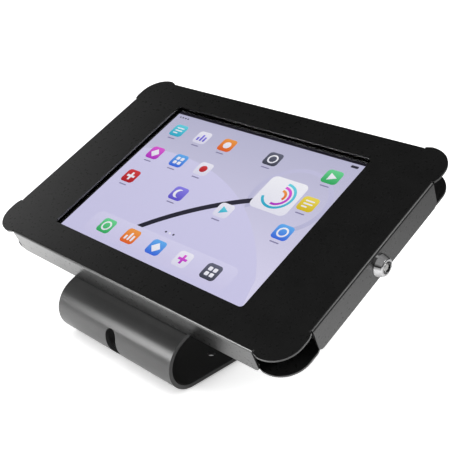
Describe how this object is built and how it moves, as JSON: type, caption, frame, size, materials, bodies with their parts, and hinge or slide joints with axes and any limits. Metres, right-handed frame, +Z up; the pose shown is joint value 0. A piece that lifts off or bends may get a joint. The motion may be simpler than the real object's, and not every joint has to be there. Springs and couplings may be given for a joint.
{
  "type": "tablet security kiosk stand",
  "caption": "Locking steel tablet case with a windowed cover and tubular cam lock, on a bent steel desk foot.",
  "frame": {"origin": "on the underside of the base, in the middle of the four desk screw holes", "axes": "+X to the right across the screen, +Y to the back, +Z up"},
  "size_m": [0.3122, 0.1973, 0.1518],
  "materials": {
    "powder_coat": "black powder coat, satin",
    "rubber": "matt",
    "foam": "closed-cell foam, matt",
    "zinc": "zinc plated",
    "chrome": "polished",
    "plug_steel": "satin",
    "aluminium": "blasted and anodised",
    "black_border": "printed",
    "display": "lit",
    "glass": "clear, polished",
    "black_plastic": "gloss"
  },
  "bodies": {
    "case": {"foot_strip": "powder_coat", "rubber_feet": "rubber", "rear_tray": "powder_coat", "stand_screws": "zinc", "stand_nuts": "zinc", "cable_grommet": "rubber", "lock_strike": "zinc", "strike_rivets": "zinc", "foam_bed": "foam", "foam_blocks": "foam", "tablet_shell": "aluminium", "tablet_display": "display", "tablet_border": "black_border", "tablet_glass": "glass"},
    "cover": {"front_cover": "powder_coat", "window_gasket": "foam", "lock_housing": "chrome", "lock_washer": "zinc", "lock_nut": "zinc"},
    "lock_plug": {"lock_plug": "plug_steel", "lock_pins": "plug_steel", "lock_cam": "zinc", "cam_screw": "zinc"},
    "home_button": {"tablet_home_button": "black_plastic"},
    "power_button": {"tablet_power_button": "aluminium"},
    "volume_up_button": {"tablet_volume_up_button": "aluminium"},
    "volume_down_button": {"tablet_volume_down_button": "aluminium"}
  },
  "joints": [
    {"name": "cover_swing", "type": "hinge", "parent": "case", "child": "cover", "pos_m": [-0.151, 0.00503, 0.08775], "axis": [0, -0.9033, -0.4289], "range_deg": [0, 80]},
    {"name": "lock_turn", "type": "hinge", "parent": "cover", "child": "lock_plug", "pos_m": [0.1525, 0.00096, 0.09633], "axis": [1, 0, 0], "range_deg": [0, 90]},
    {"name": "home_button_press", "type": "slide", "parent": "case", "child": "home_button", "axis": [0, 0.4289, -0.9033], "range_m": [0, 0.0003], "stiffness_N_per_m": 1200, "springref_m": -0.0004},
    {"name": "power_button_press", "type": "slide", "parent": "case", "child": "power_button", "axis": [1, 0, 0], "range_m": [0, 0.0004], "stiffness_N_per_m": 1200, "springref_m": -0.0004},
    {"name": "volume_up_button_press", "type": "slide", "parent": "case", "child": "volume_up_button", "axis": [0, -0.9033, -0.4289], "range_m": [0, 0.0004], "stiffness_N_per_m": 1200, "springref_m": -0.0004},
    {"name": "volume_down_button_press", "type": "slide", "parent": "case", "child": "volume_down_button", "axis": [0, -0.9033, -0.4289], "range_m": [0, 0.0004], "stiffness_N_per_m": 1200, "springref_m": -0.0004}
  ]
}
